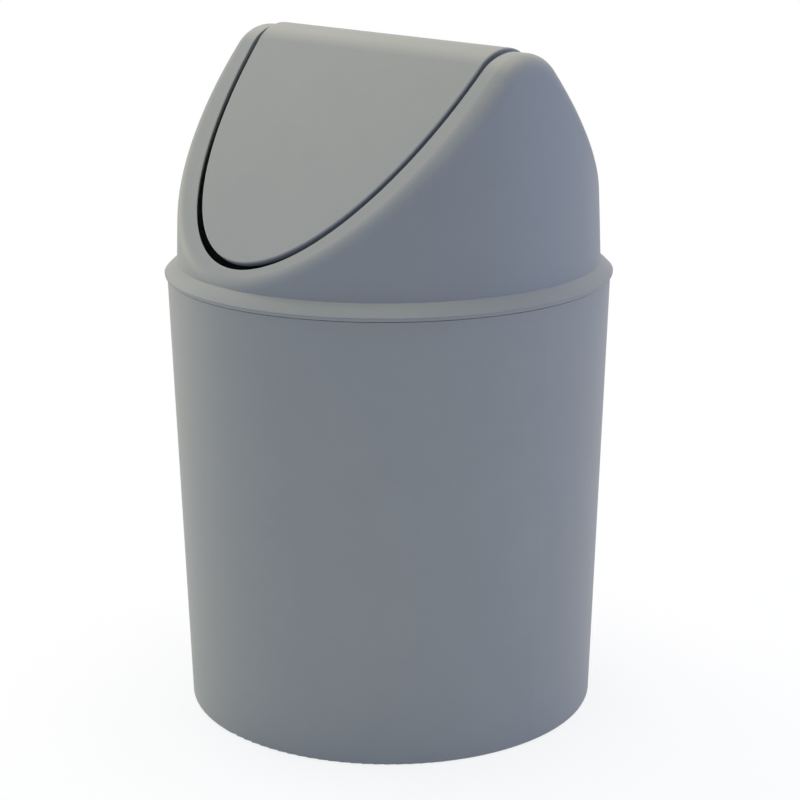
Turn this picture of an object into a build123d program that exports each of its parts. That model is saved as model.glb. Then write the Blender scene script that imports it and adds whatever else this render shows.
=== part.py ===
"""A small swing-lid bin: a tapered round bucket, a hood cut off by two slopes, and a saddle-shaped flap
that covers the hood's mouth and swings in it on two push-in pins.

Millimetres, +Z up, +X to the right along the flap's pivot axis, -Y to the front. The origin is the centre
of the circle that the bin stands on. The front and back halves are alike, and so are left and right.
"""

from build123d import *
import math
import os

# ---- bucket ------------------------------------------------------------------------------------------
base_radius = 94.1  # outside of the wall, carried down to the table
ledge_radius = 100.3  # outside of the wall at the ledge under the hood's lip
ledge_height = 201.2
bucket_wall = 1.8
floor_thickness = 2.2
foot_width = 7.0  # ring that the bucket stands on
foot_height = 1.8  # how far the rest of the floor is let in above the table
foot_slope = 1.5  # run of the ring's sloped inner side
base_corner = 1.8  # outside corner between wall and foot
floor_corner = 6.0  # inside corner between wall and floor
gate_radius = 6.0  # shallow dish around the moulding gate, under the floor
gate_depth = 0.6
rim_rebate = 1.3  # the rim steps in here, so that the hood's lip comes flush
rim_thickness = 2.0
rim_rise = 4.2  # rim above the ledge
rim_blend = 5.0  # height over which the wall steps in to the rim on the inside
rim_round = 0.5

# ---- hood --------------------------------------------------------------------------------------------
hood_wall = 2.0
hood_gap = 0.3  # between the hood and the bucket's ledge and rim
bead_overhang = 1.2  # the bead, the widest circle of the bin, stands out this far beyond the ledge
bead_rise = 2.1  # height of that circle above the ledge
bead_swell = 0.25  # how round the bead is below its widest circle
lip_thickness = 1.3  # at the lip's lower edge
shoulder_rise = 7.3  # from the ledge to the top of the bead, against the hood's wall
shoulder_swell = 0.25  # how far the bead's top swells beyond its straight chord
shoulder_root = 0.6  # the bead's top runs on this far under the wall's surface
hood_inset = 4.25  # the hood's wall, carried down to the ledge, is this far inside it
hood_lean = 5.9  # how far the wall leans in, from there up to the apex's height
wall_swell = 0.45  # how far the wall swells beyond its straight chord
plug_depth = 9.0  # ring that goes down inside the bucket's rim
plug_wall = 1.6
plug_lead = 0.6

# ---- slopes of hood and flap -------------------------------------------------------------------------
slope_angle = 48.0  # from the horizontal
slope_foot_rise = 9.43  # from the ledge to where the slopes run out through the hood's wall
flap_ridge_radius = 18.5
peak_radius = 21.4  # rounding of the hood's two peaks, left and right of the flap
hood_edge_round = 8.0  # between the hood's wall and its slopes

# ---- mouth and flap ----------------------------------------------------------------------------------
side_band = 13.15  # from the hood's wall at the apex's height to the mouth, along X
end_band = 5.25  # from the foot of the hood's wall to the mouth, along Y
side_gap = 2.6  # between flap and mouth along X
end_gap = 1.8  # and along Y
mouth_edge_round = 0.4
flap_edge_round = 0.8
flap_thickness = 2.4

# ---- pivot -------------------------------------------------------------------------------------------
pin_radius = 3.0
pin_clearance = 0.1  # on radius, in the hood's bearings
pin_press = 0.02  # on radius, in the flap's cheeks
pin_head_radius = 5.0
pin_head_thickness = 1.6
barb_length = 3.0
barb_radius = 3.4
barb_slit = 1.2
barb_slit_depth = 7.0
barb_point_radius = 2.2
cheek_inset = 3.2  # from the flap's end to the outside of its cheek
cheek_thickness = 2.4
cheek_radius = 10.5
boss_radius = 6.0
thrust_gap = 0.3  # between the flap's boss and the hood's bearing plate
bearing_inset = 2.2  # from the mouth's end to the bearing plate
bearing_thickness = 2.6
bearing_half_width = 13.0
bearing_drop = 13.0  # how far the plate reaches below the pivot
bearing_corner = 5.0
gusset_thickness = 1.8
swing_limit = 70.0  # degrees each way
stop_lug_reach = 11.0  # from the pivot to the end of the flap's stop lug
stop_lug_thickness = 3.0
stop_block_thickness = 3.0
stop_block_length = 5.0  # along the lug that meets it
stop_block_inset = 1.0  # from the boss to the block's near end
stop_block_height = 2.6  # how far a block stands out from the bearing plate
stop_clearance = 0.3  # left between lug and block at the swing's limit

# ---- worked out --------------------------------------------------------------------------------------
slope = math.radians(slope_angle)
bead_radius = ledge_radius + bead_overhang
skirt_radius = ledge_radius - hood_inset
crown_radius = skirt_radius - hood_lean
apex_height = ledge_height + slope_foot_rise + skirt_radius * math.tan(slope)  # where the slopes meet
pivot_height = apex_height - flap_ridge_radius / math.cos(slope)
mouth_half_width = crown_radius - side_band
mouth_half_length = skirt_radius - end_band
rim_radius = ledge_radius - rim_rebate
rim_top = ledge_height + rim_rise
floor_top = foot_height + floor_thickness
lip_bottom = ledge_height + hood_gap
lip_inner_radius = rim_radius + hood_gap
plug_radius = rim_radius - rim_thickness - hood_gap
flap_half_width = mouth_half_width - side_gap
flap_half_length = mouth_half_length - end_gap
cheek_outside = flap_half_width - cheek_inset
cheek_inside = cheek_outside - cheek_thickness
bearing_inside = mouth_half_width + bearing_inset
bearing_outside = bearing_inside + bearing_thickness
boss_end = bearing_inside - thrust_gap
beyond = 2 * (bead_radius + apex_height)  # longer than the bin, for tools that cut right through


def wall_radius(height):
    """Outside radius of the bucket's straight wall at a height."""
    return base_radius + (ledge_radius - base_radius) * height / ledge_height


def gable(depth, ridge_radius):
    """Area under the two slopes, seen along X, with its top let in by depth square to the slopes."""
    apex = apex_height - depth / math.cos(slope)
    run = apex_height / math.tan(slope)
    with BuildSketch(Plane.YZ) as area:
        with BuildLine():
            Polyline((-run, apex - apex_height), (0, apex), (run, apex - apex_height), close=True)
        make_face()
        fillet(area.vertices().sort_by(Axis.Y)[-1], radius=ridge_radius - depth)
    return area.sketch


def slope_faces(body):
    """The two slopes and the rounded ridge between them."""
    return body.faces().filter_by(lambda face: face.normal_at().Z > 0.3 and abs(face.normal_at().X) < 0.001)


def curved_rims(body):
    """The curved edges around the slopes and the ridge."""
    return slope_faces(body).edges().filter_by(GeomType.LINE, reverse=True)


def on_mouth(edge):
    """True for an edge whose middle lies on the mouth's outline, seen from above."""
    middle = edge @ 0.5
    return abs(math.hypot(middle.X / mouth_half_width, middle.Y / mouth_half_length) - 1) < 0.01


def dome(inset):
    """The hood's upper part as a full body, let in all round by inset."""
    foot = (skirt_radius - inset, ledge_height)
    crown = (crown_radius - inset, apex_height)
    with BuildPart() as body:
        with BuildSketch(Plane.XZ):
            with BuildLine():
                SagittaArc(foot, crown, -wall_swell)
                Polyline(crown, (0, apex_height), (0, ledge_height), foot)
            make_face()
        revolve(axis=Axis.Z)
        extrude(gable(inset, peak_radius), amount=beyond, both=True, mode=Mode.INTERSECT)
        fillet(curved_rims(body), radius=hood_edge_round - inset)
    return body.part


# ---- bucket ------------------------------------------------------------------------------------------
foot_radius = base_radius - foot_width
inner_wall_foot = wall_radius(floor_thickness) - bucket_wall
blend_height = ledge_height - rim_blend

with BuildPart() as bucket:
    with BuildSketch(Plane.XZ) as bucket_section:
        with BuildLine():
            Polyline(
                (0, foot_height),
                (foot_radius - foot_slope, foot_height),
                (foot_radius, 0),
                (base_radius, 0),
                (ledge_radius, ledge_height),
                (rim_radius, ledge_height),
                (rim_radius, rim_top),
                (rim_radius - rim_thickness, rim_top),
                (rim_radius - rim_thickness, ledge_height),
                (wall_radius(blend_height) - bucket_wall, blend_height),
                (inner_wall_foot, floor_thickness),
                (foot_radius + foot_slope, floor_thickness),
                (foot_radius, floor_top),
                (0, floor_top),
                close=True,
            )
        make_face()
        corners = bucket_section.vertices()
        fillet(corners.sort_by_distance((base_radius, 0))[0], radius=base_corner)
        fillet(corners.sort_by_distance((inner_wall_foot, floor_thickness))[0], radius=floor_corner)
        fillet(corners.sort_by_distance((rim_radius, rim_top))[0], radius=rim_round)
        fillet(corners.sort_by_distance((rim_radius - rim_thickness, rim_top))[0], radius=rim_round)
    revolve(axis=Axis.Z)
    with BuildSketch(Plane.XY.offset(foot_height)):
        Circle(gate_radius)
    extrude(amount=gate_depth, mode=Mode.SUBTRACT)
bucket.part.label = "bucket"

# ---- hood --------------------------------------------------------------------------------------------
plug_inner_radius = plug_radius - plug_wall
plug_bottom = rim_top - plug_depth
shoulder_radius = skirt_radius - hood_lean * shoulder_rise / (apex_height - ledge_height)
root = (shoulder_radius - shoulder_root, ledge_height + shoulder_rise + shoulder_root / 2)
bead = (bead_radius, ledge_height + bead_rise)
lip_foot = (lip_inner_radius + lip_thickness, lip_bottom)

with BuildPart() as bearings:  # the plates that the pins turn in, inside the hood's two peaks
    with BuildSketch(Plane.YZ.offset(bearing_inside)) as plate:
        with Locations((0, pivot_height - bearing_drop)):
            Rectangle(2 * bearing_half_width, beyond, align=(Align.CENTER, Align.MIN))
        fillet(plate.vertices().group_by(Axis.Y)[0], radius=bearing_corner)
    extrude(amount=bearing_thickness)
    gusset_foot = pivot_height - bearing_drop + bearing_corner
    for side in (-1, 1):
        with Locations((bearing_inside, side * (bearing_half_width - gusset_thickness / 2), gusset_foot)):
            Box(beyond, gusset_thickness, beyond, align=(Align.MIN, Align.CENTER, Align.MIN))
    with BuildSketch(Plane.YZ.offset(bearing_inside)):
        stop_offset = stop_lug_thickness / 2 + stop_clearance + stop_block_thickness / 2
        for side in (-1, 1):
            with Locations(Location((0, pivot_height, 0), (0, 0, side * swing_limit - 90))):
                with Locations((boss_radius + stop_block_inset, side * stop_offset)):
                    Rectangle(stop_block_length, stop_block_thickness, align=(Align.MIN, Align.CENTER))
    extrude(amount=-stop_block_height)
    add(dome(hood_wall / 2), mode=Mode.INTERSECT)
    with BuildSketch(Plane.YZ.offset(bearing_inside)):
        with Locations((0, pivot_height)):
            Circle(pin_radius + pin_clearance)
    extrude(amount=bearing_thickness, mode=Mode.SUBTRACT)
    mirror(about=Plane.YZ)

with BuildPart() as hood:
    add(dome(0))
    add(dome(hood_wall), mode=Mode.SUBTRACT)
    split(bisect_by=Plane.XY.offset(rim_top), keep=Keep.TOP)
    with BuildSketch(Plane.XY.offset(rim_top)):
        Ellipse(mouth_half_width, mouth_half_length)
    extrude(amount=beyond, mode=Mode.SUBTRACT)
    fillet(curved_rims(hood).filter_by(on_mouth), radius=mouth_edge_round)
    with BuildSketch(Plane.XZ) as bead_section:
        with BuildLine():
            SagittaArc(lip_foot, bead, -bead_swell)
            SagittaArc(bead, root, -shoulder_swell)
            Polyline(
                root,
                (plug_inner_radius, rim_top),
                (plug_inner_radius, plug_bottom),
                (plug_radius - plug_lead, plug_bottom),
                (plug_radius, plug_bottom + plug_lead),
                (plug_radius, rim_top),
                (lip_inner_radius, rim_top),
                (lip_inner_radius, lip_bottom),
                lip_foot,
            )
        make_face()
    revolve(axis=Axis.Z)
    add(bearings.part)
hood.part.label = "hood"

# ---- flap --------------------------------------------------------------------------------------------
with BuildPart() as flap_outline:  # all that lies under the flap's skin, for its outline
    extrude(gable(0, flap_ridge_radius), amount=beyond, both=True)
    with BuildSketch():
        Ellipse(flap_half_width, flap_half_length)
    extrude(amount=beyond, mode=Mode.INTERSECT)

with BuildPart() as cheek:  # the right-hand plate with its boss and stop lug
    with BuildSketch(Plane.YZ.offset(cheek_inside)):
        with Locations((0, pivot_height)):
            Circle(cheek_radius)
            Rectangle(2 * cheek_radius, beyond, align=(Align.CENTER, Align.MIN))
    extrude(amount=cheek_thickness)
    with BuildSketch(Plane.YZ.offset(cheek_outside)):
        with Locations((0, pivot_height)):
            Circle(boss_radius)
            Rectangle(stop_lug_thickness, stop_lug_reach, align=(Align.CENTER, Align.MAX))
    extrude(amount=boss_end - cheek_outside)
    extrude(gable(flap_thickness / 2, flap_ridge_radius), amount=beyond, both=True, mode=Mode.INTERSECT)
    with BuildSketch(Plane.YZ.offset(cheek_inside)):
        with Locations((0, pivot_height)):
            Circle(pin_radius + pin_press)
    extrude(amount=beyond, mode=Mode.SUBTRACT)

with BuildPart() as flap:
    for face in slope_faces(flap_outline):  # an even skin, its edge square to the slopes
        thicken(face, amount=-flap_thickness)
    fillet(curved_rims(flap), radius=flap_edge_round)
    add(cheek.part)
    add(cheek.part.mirror(Plane.YZ))
flap.part.label = "flap"

# ---- pins --------------------------------------------------------------------------------------------
barb_start = bearing_outside + thrust_gap

with BuildPart() as right_pivot_pin:
    with BuildSketch(Plane.XZ):
        with BuildLine():
            Polyline(
                (cheek_inside - pin_head_thickness, pivot_height),
                (cheek_inside - pin_head_thickness, pivot_height + pin_head_radius),
                (cheek_inside, pivot_height + pin_head_radius),
                (cheek_inside, pivot_height + pin_radius),
                (barb_start, pivot_height + pin_radius),
                (barb_start, pivot_height + barb_radius),
                (barb_start + barb_length, pivot_height + barb_point_radius),
                (barb_start + barb_length, pivot_height),
                close=True,
            )
        make_face()
    revolve(axis=Axis((0, 0, pivot_height), (1, 0, 0)))
    with Locations((barb_start + barb_length, 0, pivot_height)):
        Box(
            barb_slit_depth,
            2 * barb_radius,
            barb_slit,
            align=(Align.MAX, Align.CENTER, Align.CENTER),
            mode=Mode.SUBTRACT,
        )
right_pivot_pin.part.label = "right_pivot_pin"

with BuildPart() as left_pivot_pin:
    mirror(right_pivot_pin.part, about=Plane.YZ)
left_pivot_pin.part.label = "left_pivot_pin"

os.makedirs("parts", exist_ok=True)
for piece in (bucket, hood, flap, left_pivot_pin, right_pivot_pin):
    export_step(piece.part, f"parts/{piece.part.label}.step")
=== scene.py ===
"""A small grey swing-lid bin of moulded polypropylene: bucket, hood, swinging flap and two pivot pins."""

import math

import bpy
from mathutils import Matrix, Vector

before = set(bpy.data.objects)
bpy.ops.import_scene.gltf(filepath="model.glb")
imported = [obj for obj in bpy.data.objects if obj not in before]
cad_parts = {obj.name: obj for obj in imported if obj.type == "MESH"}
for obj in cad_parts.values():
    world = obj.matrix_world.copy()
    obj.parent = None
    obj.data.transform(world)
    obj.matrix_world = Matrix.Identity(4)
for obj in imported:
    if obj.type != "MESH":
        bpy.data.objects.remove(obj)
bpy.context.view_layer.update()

MM = 0.001  # lengths written with MM are in millimetres, and the bin's and studio's other lengths in metres


# ---- helpers -----------------------------------------------------------------------------------------
def linear(hex_colour):
    """An sRGB colour such as "989b9a" as linear red, green, blue and alpha."""
    channels = [int(hex_colour[i : i + 2], 16) / 255 for i in (0, 2, 4)]
    return [c / 12.92 if c <= 0.04045 else ((c + 0.055) / 1.055) ** 2.4 for c in channels] + [1.0]


def add_node(tree, kind, settings=None, inputs=None):
    """Adds one node. An input goes by its name, or by its number where names repeat. Its value is a number,
    a colour, or another node's output socket to link from."""
    made = tree.nodes.new(kind)
    for name, value in (settings or {}).items():
        setattr(made, name, value)
    for name, value in (inputs or {}).items():
        if isinstance(value, bpy.types.NodeSocket):
            tree.links.new(value, made.inputs[name])
        else:
            made.inputs[name].default_value = value
    return made


# ---- materials ---------------------------------------------------------------------------------------
CLOUD_SIZE = 35 * MM  # the largest patches of pigment, broken up down to about 4 mm
GRAIN_SIZE = 0.9 * MM  # pits of about 0.45 mm: real ones are finer, these are as coarse as shows
GRAIN_DEPTH = 0.05 * MM
WAVE_SIZE = 28 * MM  # long shallow waves where the wall shrank unevenly as it cooled
WAVE_DEPTH = 0.25 * MM
GLOSS_SPREAD = 0.03  # roughness goes up and down by this much with the clouds


def moulded_polypropylene(name, pale, dark, roughness):
    """Polypropylene, injection moulded in a spark-eroded mould: an even, matt, slightly waxy grey with a
    fine grain, faint cloudy flow marks in the pigment and a soft sheen at grazing angles."""
    material = bpy.data.materials.new(name)
    material.use_nodes = True
    tree = material.node_tree
    tree.nodes.clear()
    place = add_node(tree, "ShaderNodeTexCoord").outputs["Object"]

    clouds = add_node(
        tree,
        "ShaderNodeTexNoise",
        {},
        {"Vector": place, "Scale": 1 / CLOUD_SIZE, "Detail": 4.0, "Roughness": 0.7},
    ).outputs["Fac"]
    cloud_span = {"Value": clouds, "From Min": 0.3, "From Max": 0.7}
    patches = add_node(tree, "ShaderNodeMapRange", {}, cloud_span | {"To Min": 0.0, "To Max": 1.0})
    tint = add_node(
        tree,
        "ShaderNodeMix",
        {"data_type": "RGBA"},
        {0: patches.outputs["Result"], 6: linear(dark), 7: linear(pale)},
    )
    gloss = add_node(
        tree,
        "ShaderNodeMapRange",
        {},
        cloud_span | {"To Min": roughness - GLOSS_SPREAD, "To Max": roughness + GLOSS_SPREAD},
    )

    waves = add_node(
        tree,
        "ShaderNodeTexNoise",
        {},
        {"Vector": place, "Scale": 1 / WAVE_SIZE, "Detail": 1.0, "Roughness": 0.4},
    )
    sunken = add_node(
        tree,
        "ShaderNodeBump",
        {},
        {"Height": waves.outputs["Fac"], "Distance": WAVE_DEPTH, "Strength": 0.5},
    )
    grain = add_node(
        tree,
        "ShaderNodeTexNoise",
        {},
        {"Vector": place, "Scale": 1 / GRAIN_SIZE, "Detail": 2.0, "Roughness": 0.6},
    )
    pitted = add_node(
        tree,
        "ShaderNodeBump",
        {},
        {
            "Height": grain.outputs["Fac"],
            "Distance": GRAIN_DEPTH,
            "Strength": 0.8,
            "Normal": sunken.outputs["Normal"],
        },
    )

    shader = add_node(
        tree,
        "ShaderNodeBsdfPrincipled",
        {},
        {
            "Base Color": tint.outputs[2],
            "Roughness": gloss.outputs["Result"],
            "IOR": 1.49,
            "Normal": pitted.outputs["Normal"],
        },
    )
    add_node(tree, "ShaderNodeOutputMaterial", {}, {"Surface": shader.outputs["BSDF"]})
    return material


# the hood and flap are a touch darker and cooler than the bucket: painted shade, the bucket's grey darkened
# so that the lid's shaded sides come out darker and bluer than the lamps alone make them. The pins are
# darker and smoother still
grey_bucket = moulded_polypropylene("moulded_polypropylene_bucket", "989b9a", "949797", 0.52)
grey_pins = moulded_polypropylene("moulded_polypropylene_pins", "8b8f93", "868a8e", 0.42)
lid_grey_with_painted_shade = moulded_polypropylene("moulded_polypropylene_lid_painted_shade", "919597", "8d9194", 0.52)

for node_name, plastic in (
    ("bucket", grey_bucket),
    ("hood", lid_grey_with_painted_shade),
    ("flap", lid_grey_with_painted_shade),
    ("left_pivot_pin", grey_pins),
    ("right_pivot_pin", grey_pins),
):
    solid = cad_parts[node_name]
    solid.data.materials.clear()
    solid.data.materials.append(plastic)


# ---- camera ------------------------------------------------------------------------------------------
camera_place = Vector((721.4, -647.3, 411.4)) * MM
camera_turn = 48.1  # degrees round from the front, to the right
camera_dip = 15.5  # degrees below the horizontal
camera_roll = -0.005  # radians

camera_data = bpy.data.cameras.new("camera")
camera_data.lens = 97.9
camera_data.sensor_width = 36.0
camera_data.shift_x = 0.0133
camera_data.shift_y = -0.00625
camera_data.clip_start = 0.05
camera_data.clip_end = 50.0
camera = bpy.data.objects.new("camera", camera_data)
bpy.context.scene.collection.objects.link(camera)
camera.matrix_world = (
    Matrix.Translation(camera_place)
    @ Matrix.Rotation(math.radians(camera_turn), 4, "Z")
    @ Matrix.Rotation(math.radians(90.0 - camera_dip), 4, "X")
    @ Matrix.Rotation(camera_roll, 4, "Z")
)
bpy.context.scene.camera = camera


# ---- lamps -------------------------------------------------------------------------------------------
middle = (0.0, 0.0, 0.16)  # of the bin, where every lamp points
lamp_distance = 1.7


def around(turn_from_camera, elevation):
    """A place on the studio's sphere: degrees round from the camera, to its right, and above the table."""
    turn = math.radians(camera_turn + turn_from_camera)
    rise = math.radians(elevation)
    return Vector(middle) + lamp_distance * Vector(
        (math.sin(turn) * math.cos(rise), -math.cos(turn) * math.cos(rise), math.sin(rise))
    )


def softbox(name, place, side, power, colour):
    """A square studio lamp at a place, turned to the middle of the bin: side in metres, power in watts."""
    data = bpy.data.lights.new(name, "AREA")
    data.shape = "RECTANGLE"
    data.size = side
    data.size_y = side
    data.energy = power
    data.color = linear(colour)[:3]
    lamp = bpy.data.objects.new(name, data)
    bpy.context.scene.collection.objects.link(lamp)
    lamp.location = place
    lamp.rotation_mode = "QUATERNION"
    lamp.rotation_quaternion = (Vector(middle) - Vector(place)).to_track_quat("-Z", "Y")


softbox("overhead", (0.0, 0.0, 1.8), 1.0, 16.8, "ffefbc")
softbox("behind_left", around(-150, 42), 0.9, 5.4, "fff1db")
softbox("behind_right", around(150, 42), 0.9, 2.9, "ffdcd8")
softbox("left", around(-120, 8), 0.9, 8.7, "fff4c4")
softbox("right", around(90, 8), 0.9, 4.8, "b5c4ff")


# ---- backdrop and floor ------------------------------------------------------------------------------
def seen_rays(tree):
    """1 for the rays that show the backdrop: camera, glossy and transmission rays. 0 for all others."""
    rays = add_node(tree, "ShaderNodeLightPath").outputs
    sum_to_one = {"operation": "ADD", "use_clamp": True}
    mirrored = add_node(
        tree, "ShaderNodeMath", sum_to_one, {0: rays["Is Glossy Ray"], 1: rays["Is Transmission Ray"]}
    )
    seen = add_node(tree, "ShaderNodeMath", sum_to_one, {0: rays["Is Camera Ray"], 1: mirrored.outputs[0]})
    return seen.outputs[0]


def mixed(tree, share, first, second):
    """A mix of two shaders: all of the first where the share is 0, and of the second where it is 1."""
    return add_node(tree, "ShaderNodeMixShader", {}, {0: share, 1: first, 2: second}).outputs[0]


# room: a cool, even light from all round, behind a backdrop that shows white
world = bpy.data.worlds.new("studio")
bpy.context.scene.world = world
world.use_nodes = True
room = world.node_tree
room.nodes.clear()
room_light = add_node(room, "ShaderNodeBackground", {}, {"Color": linear("bfd6ff"), "Strength": 0.527})
backdrop = add_node(room, "ShaderNodeBackground", {}, {"Color": linear("ffffff"), "Strength": 1.0})
shown = mixed(room, seen_rays(room), room_light.outputs[0], backdrop.outputs[0])
add_node(room, "ShaderNodeOutputWorld", {}, {"Surface": shown})

# floor: white background paper that runs on without a horizon and keeps the bin's soft shadow
paper_reach = 6.0
shadow_keeps_to = 0.22  # from the bin's axis, where the shadow starts to fade into plain white
shadow_ends_at = 0.6
own_white_share = 0.825  # of what is seen of the near paper; the lamps' light on it makes up the rest
lamp_light_share = (0.173, 0.18, 0.195, 1.0)

paper_mesh = bpy.data.meshes.new("floor")
paper_corners = [(x * paper_reach, y * paper_reach, 0.0) for x, y in ((-1, -1), (1, -1), (1, 1), (-1, 1))]
paper_mesh.from_pydata(paper_corners, [], [(0, 1, 2, 3)])
floor = bpy.data.objects.new("floor", paper_mesh)
bpy.context.scene.collection.objects.link(floor)

paper = bpy.data.materials.new("white_background_paper")
paper.use_nodes = True
sheet = paper.node_tree
sheet.nodes.clear()
lit_paper = add_node(sheet, "ShaderNodeBsdfDiffuse", {}, {"Color": linear("f4f4f4")})
lamp_light = add_node(sheet, "ShaderNodeBsdfDiffuse", {}, {"Color": lamp_light_share})
own_white = add_node(
    sheet, "ShaderNodeEmission", {}, {"Color": linear("ffffff"), "Strength": own_white_share}
)
near_paper = add_node(sheet, "ShaderNodeAddShader", {}, {0: lamp_light.outputs[0], 1: own_white.outputs[0]})
far_paper = add_node(sheet, "ShaderNodeEmission", {}, {"Color": linear("ffffff"), "Strength": 1.0})
from_axis = add_node(
    sheet,
    "ShaderNodeVectorMath",
    {"operation": "LENGTH"},
    {"Vector": add_node(sheet, "ShaderNodeTexCoord").outputs["Object"]},
)
fade = add_node(
    sheet,
    "ShaderNodeMapRange",
    {"interpolation_type": "SMOOTHSTEP"},
    {"Value": from_axis.outputs["Value"], "From Min": shadow_keeps_to, "From Max": shadow_ends_at},
)
paper_seen = mixed(sheet, fade.outputs["Result"], near_paper.outputs[0], far_paper.outputs[0])
paper_shown = mixed(sheet, seen_rays(sheet), lit_paper.outputs[0], paper_seen)
add_node(sheet, "ShaderNodeOutputMaterial", {}, {"Surface": paper_shown})
paper_mesh.materials.append(paper)

bpy.context.scene.view_settings.view_transform = "Standard"
